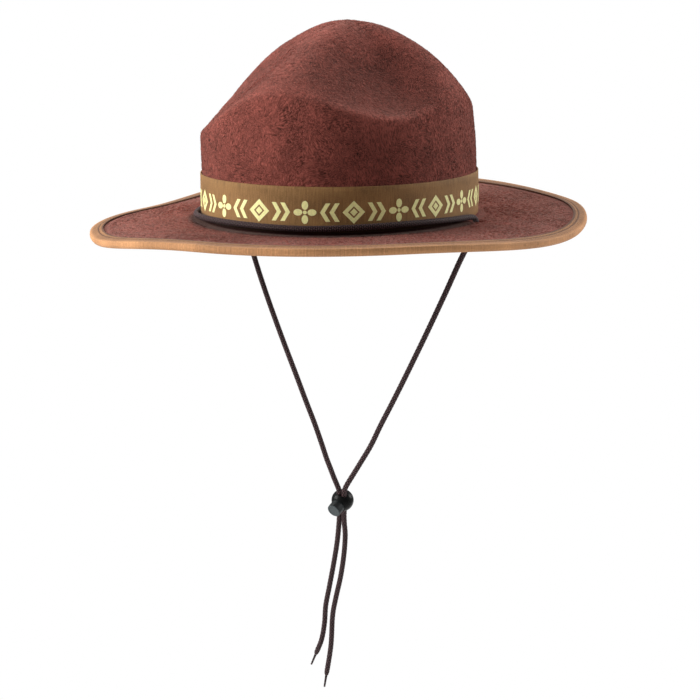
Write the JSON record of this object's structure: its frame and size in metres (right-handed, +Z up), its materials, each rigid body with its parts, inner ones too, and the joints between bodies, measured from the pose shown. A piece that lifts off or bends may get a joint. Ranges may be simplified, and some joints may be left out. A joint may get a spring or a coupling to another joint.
{
  "type": "campaign hat",
  "caption": "Stiff felt hat with a tall pinched crown, a wide flat bound brim, a ribbon band, and a chin cord that hangs to a sprung cord lock with loose tails.",
  "frame": {"origin": "middle of the head opening, level with the underside of the brim where it meets the crown", "axes": "+Z up through the crown, -Y towards the front of the hat, +X towards the wearer's left"},
  "size_m": [0.3084, 0.3352, 0.459],
  "materials": {
    "felt": "red-brown felt with a fine fuzzy nap",
    "binding_ribbon": "tan ribbon with fine cross ribs",
    "band_ribbon": "brown grosgrain ribbon with a pale yellow printed pattern",
    "braided_cord": "dark brown-black round braid",
    "black_plastic": "black moulded plastic",
    "grey_plastic": "dark grey moulded plastic"
  },
  "bodies": {
    "hat": {"felt_body": "felt", "brim_binding": "binding_ribbon", "hat_band": "band_ribbon", "chin_cord_front": "braided_cord", "chin_cord_left": "braided_cord", "chin_cord_right": "braided_cord", "lock_ball": "black_plastic"},
    "plunger": {"lock_plunger": "grey_plastic"}
  },
  "joints": [
    {"name": "plunger_press", "type": "slide", "parent": "hat", "child": "plunger", "axis": [0.0743, 0.904, 0.421], "range_m": [0, 0.002], "stiffness_N_per_m": 800, "springref_m": -0.002}
  ]
}
